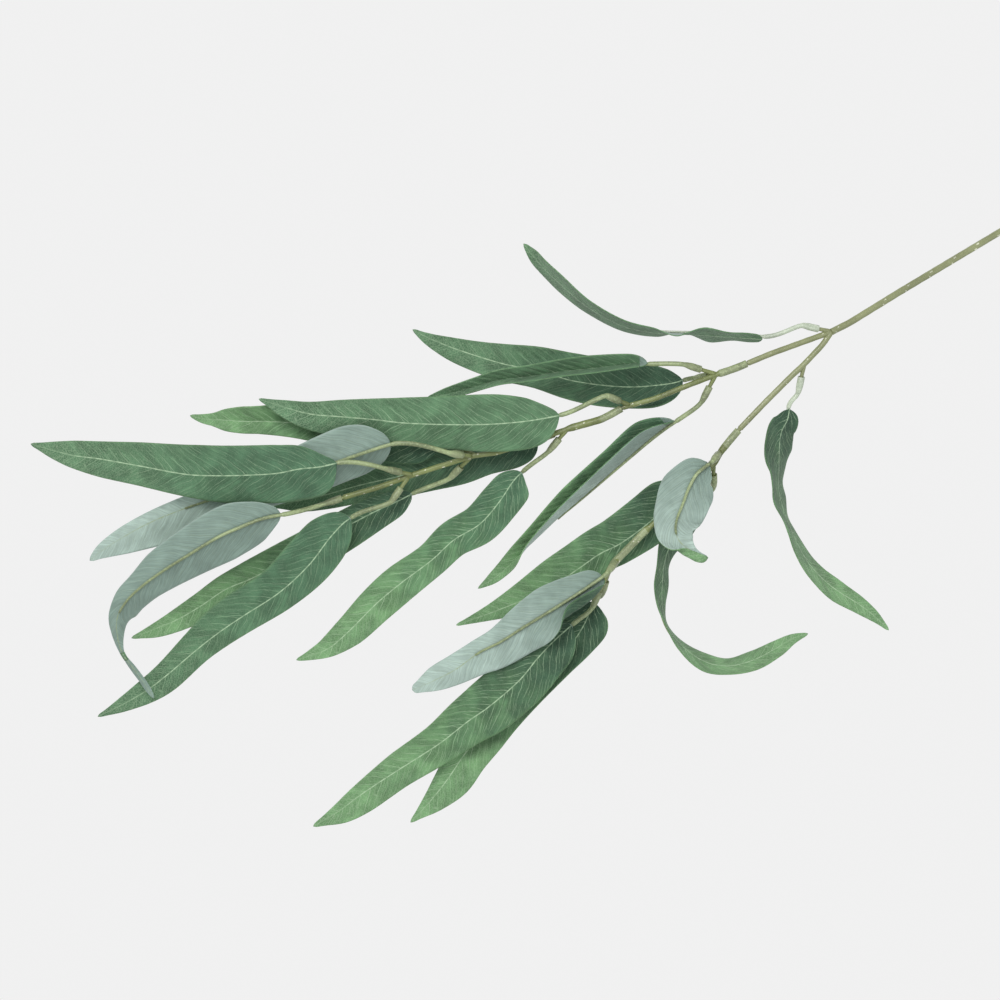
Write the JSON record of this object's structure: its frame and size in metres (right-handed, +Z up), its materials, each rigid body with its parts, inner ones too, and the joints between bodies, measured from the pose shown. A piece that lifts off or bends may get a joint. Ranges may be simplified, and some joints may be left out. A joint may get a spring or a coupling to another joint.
{
  "type": "artificial willow branch",
  "caption": "Artificial willow spray lying flat: a slim forked moulded stem with long narrow fabric leaves, green on top and grey-green below.",
  "frame": {"origin": "on the surface, below the middle of the whole spray's outline seen from above", "axes": "+X along the spray towards the cut end of the stem, +Y across it, +Z up from the surface it lies on"},
  "size_m": [0.6934, 0.4244, 0.0419],
  "materials": {
    "stem_plastic": "moulded olive green with small light dots",
    "wire": "plain drawn wire",
    "stalk_plastic": "pale moulded, slightly translucent at the sockets",
    "leaf_fabric": "printed green top face with pale veins, grey-green under face"
  },
  "bodies": {
    "root": {"main_stem": "stem_plastic", "stem_wire": "wire", "upper_limb": "stem_plastic", "outer_limb": "stem_plastic", "lower_limb": "stem_plastic", "leaf_01_stalk": "stalk_plastic", "leaf_01_blade": "leaf_fabric", "leaf_02_stalk": "stalk_plastic", "leaf_02_blade": "leaf_fabric", "leaf_03_stalk": "stalk_plastic", "leaf_03_blade": "leaf_fabric", "leaf_04_stalk": "stalk_plastic", "leaf_04_blade": "leaf_fabric", "leaf_05_stalk": "stalk_plastic", "leaf_05_blade": "leaf_fabric", "leaf_06_stalk": "stalk_plastic", "leaf_06_blade": "leaf_fabric", "leaf_07_stalk": "stalk_plastic", "leaf_07_blade": "leaf_fabric", "leaf_08_stalk": "stalk_plastic", "leaf_08_blade": "leaf_fabric", "leaf_09_stalk": "stalk_plastic", "leaf_09_blade": "leaf_fabric", "leaf_10_stalk": "stalk_plastic", "leaf_10_blade": "leaf_fabric", "leaf_11_stalk": "stalk_plastic", "leaf_11_blade": "leaf_fabric", "leaf_12_stalk": "stalk_plastic", "leaf_12_blade": "leaf_fabric", "leaf_13_stalk": "stalk_plastic", "leaf_13_blade": "leaf_fabric", "leaf_14_stalk": "stalk_plastic", "leaf_14_blade": "leaf_fabric", "leaf_15_stalk": "stalk_plastic", "leaf_15_blade": "leaf_fabric", "leaf_16_stalk": "stalk_plastic", "leaf_16_blade": "leaf_fabric", "leaf_17_stalk": "stalk_plastic", "leaf_17_blade": "leaf_fabric", "leaf_18_stalk": "stalk_plastic", "leaf_18_blade": "leaf_fabric", "leaf_19_stalk": "stalk_plastic", "leaf_19_blade": "leaf_fabric", "leaf_20_stalk": "stalk_plastic", "leaf_20_blade": "leaf_fabric"}
  },
  "joints": []
}
